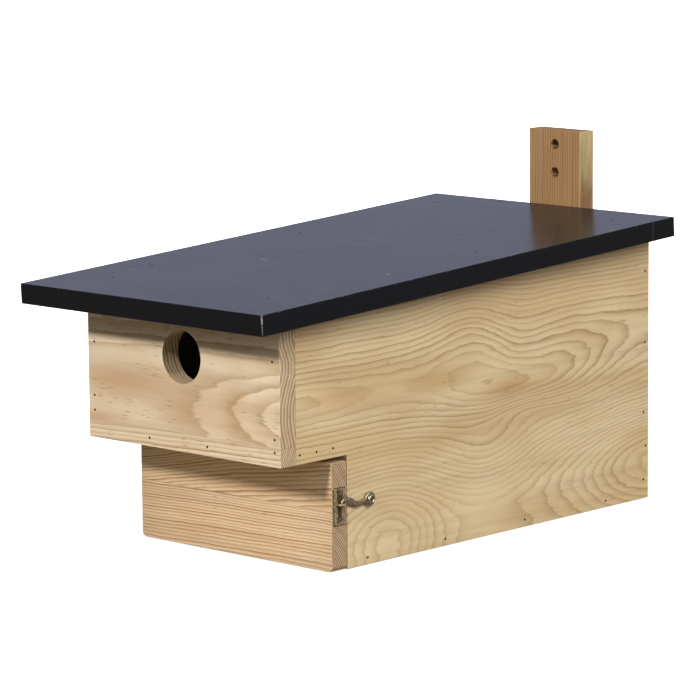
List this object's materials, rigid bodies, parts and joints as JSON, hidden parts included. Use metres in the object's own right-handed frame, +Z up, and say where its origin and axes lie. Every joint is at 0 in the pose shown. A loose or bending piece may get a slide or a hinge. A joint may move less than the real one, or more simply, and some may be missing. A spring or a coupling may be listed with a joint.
{
  "type": "nest box",
  "caption": "Long pine nest box with a protruding entrance nose, set-back hinged front door on a hook latch, sloping dark roof and rear mounting batten.",
  "frame": {"origin": "bottom centre of the whole box, roof and batten included; the base stands on z = 0", "axes": "+Z up, the entrance hole faces -Y, the batten is at +Y, the hook latch is on the +X side"},
  "size_m": [0.201, 0.386, 0.2315],
  "materials": {
    "pine_side": "planed, unfinished pine",
    "pine_front": "planed, unfinished pine",
    "pine_rear": "planed, unfinished pine",
    "pine_floor": "planed, unfinished pine",
    "pine_door": "planed, unfinished pine with a close straight grain",
    "pine_batten": "planed, unfinished pine heartwood",
    "roof_paint": "wooden board in satin anthracite paint",
    "brad_steel": "dull darkened steel heads",
    "screw_steel": "zinc plated",
    "antique_brass": "aged, dark brass plating"
  },
  "bodies": {
    "box": {"left_side_wall": "pine_side", "right_side_wall": "pine_side", "front_board": "pine_front", "rear_wall": "pine_rear", "nose_floor": "pine_floor", "bottom_board": "pine_floor", "mounting_batten": "pine_batten", "roof_board": "roof_paint", "roof_brads": "brad_steel", "front_board_brads": "brad_steel", "nose_floor_brads": "brad_steel", "rear_wall_brads": "brad_steel", "bottom_board_brads": "brad_steel", "batten_screws": "screw_steel", "hinge_wall_screws": "antique_brass", "upper_hinge_wall_leaf": "antique_brass", "upper_hinge_pin": "antique_brass", "lower_hinge_wall_leaf": "antique_brass", "lower_hinge_pin": "antique_brass", "hook_washer": "antique_brass", "hook_screw": "antique_brass"},
    "door": {"front_door": "pine_door", "hinge_door_screws": "antique_brass", "upper_hinge_door_leaf": "antique_brass", "lower_hinge_door_leaf": "antique_brass", "catch_plate": "antique_brass", "catch_staple": "antique_brass", "catch_plate_screws": "antique_brass"},
    "hook": {"hook_arm": "antique_brass"}
  },
  "joints": [
    {"name": "door_hinge", "type": "hinge", "parent": "box", "child": "door", "pos_m": [-0.0819, -0.10245, 0.0325], "axis": [0, 0, -1], "range_deg": [0, 170]},
    {"name": "hook_pivot", "type": "hinge", "parent": "box", "child": "hook", "pos_m": [0.0822, -0.0849, 0.0398], "axis": [-1, 0, 0], "range_deg": [0, 150]}
  ]
}
